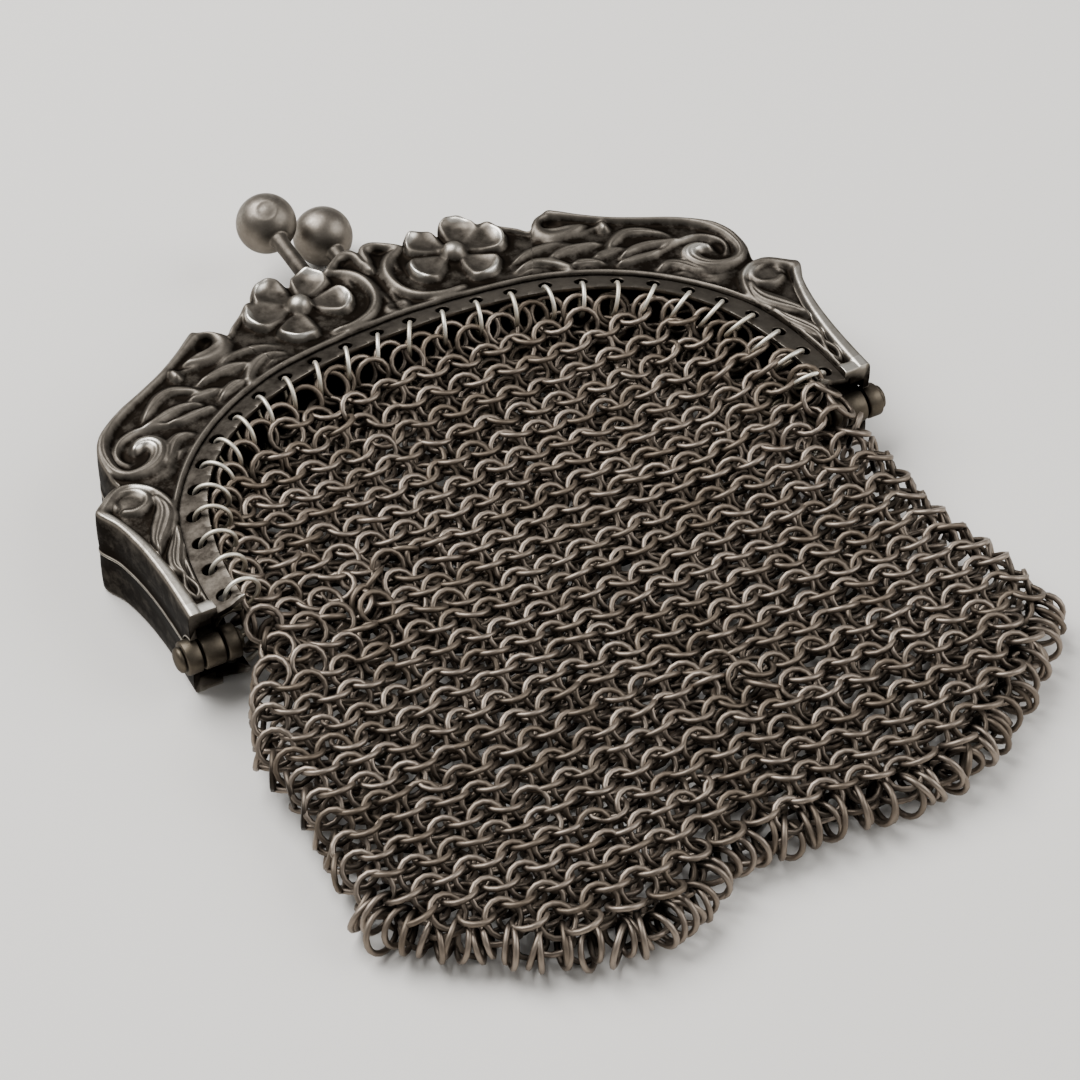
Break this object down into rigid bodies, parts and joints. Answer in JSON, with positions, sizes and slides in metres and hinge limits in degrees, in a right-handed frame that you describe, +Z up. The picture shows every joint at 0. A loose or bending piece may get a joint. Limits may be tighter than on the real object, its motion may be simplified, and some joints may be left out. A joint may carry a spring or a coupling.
{
  "type": "silver mesh coin purse",
  "caption": "Closed hinged purse frame with flower and scroll relief, clasp balls on stems and a holed inner flange, carrying a flat bag of ring mail for coins.",
  "frame": {"origin": "on the surface under the lying purse, below the middle of its outline", "axes": "+X along the hinge line, +Y from the bag to the clasp balls, +Z up out of the front of the frame"},
  "size_m": [0.0644, 0.0844, 0.0087],
  "materials": {
    "frame_silver": "stamped silver, worn bright on the high parts, dark tarnish in the recesses",
    "mail_silver": "drawn silver wire rings with brown-grey tarnish",
    "pin_silver": "yellow-brown tarnished silver"
  },
  "bodies": {
    "root": {"front_frame": "frame_silver", "back_frame": "frame_silver", "hinge_pin_left": "pin_silver", "hinge_pin_right": "pin_silver", "mail_bag": "mail_silver"}
  },
  "joints": []
}
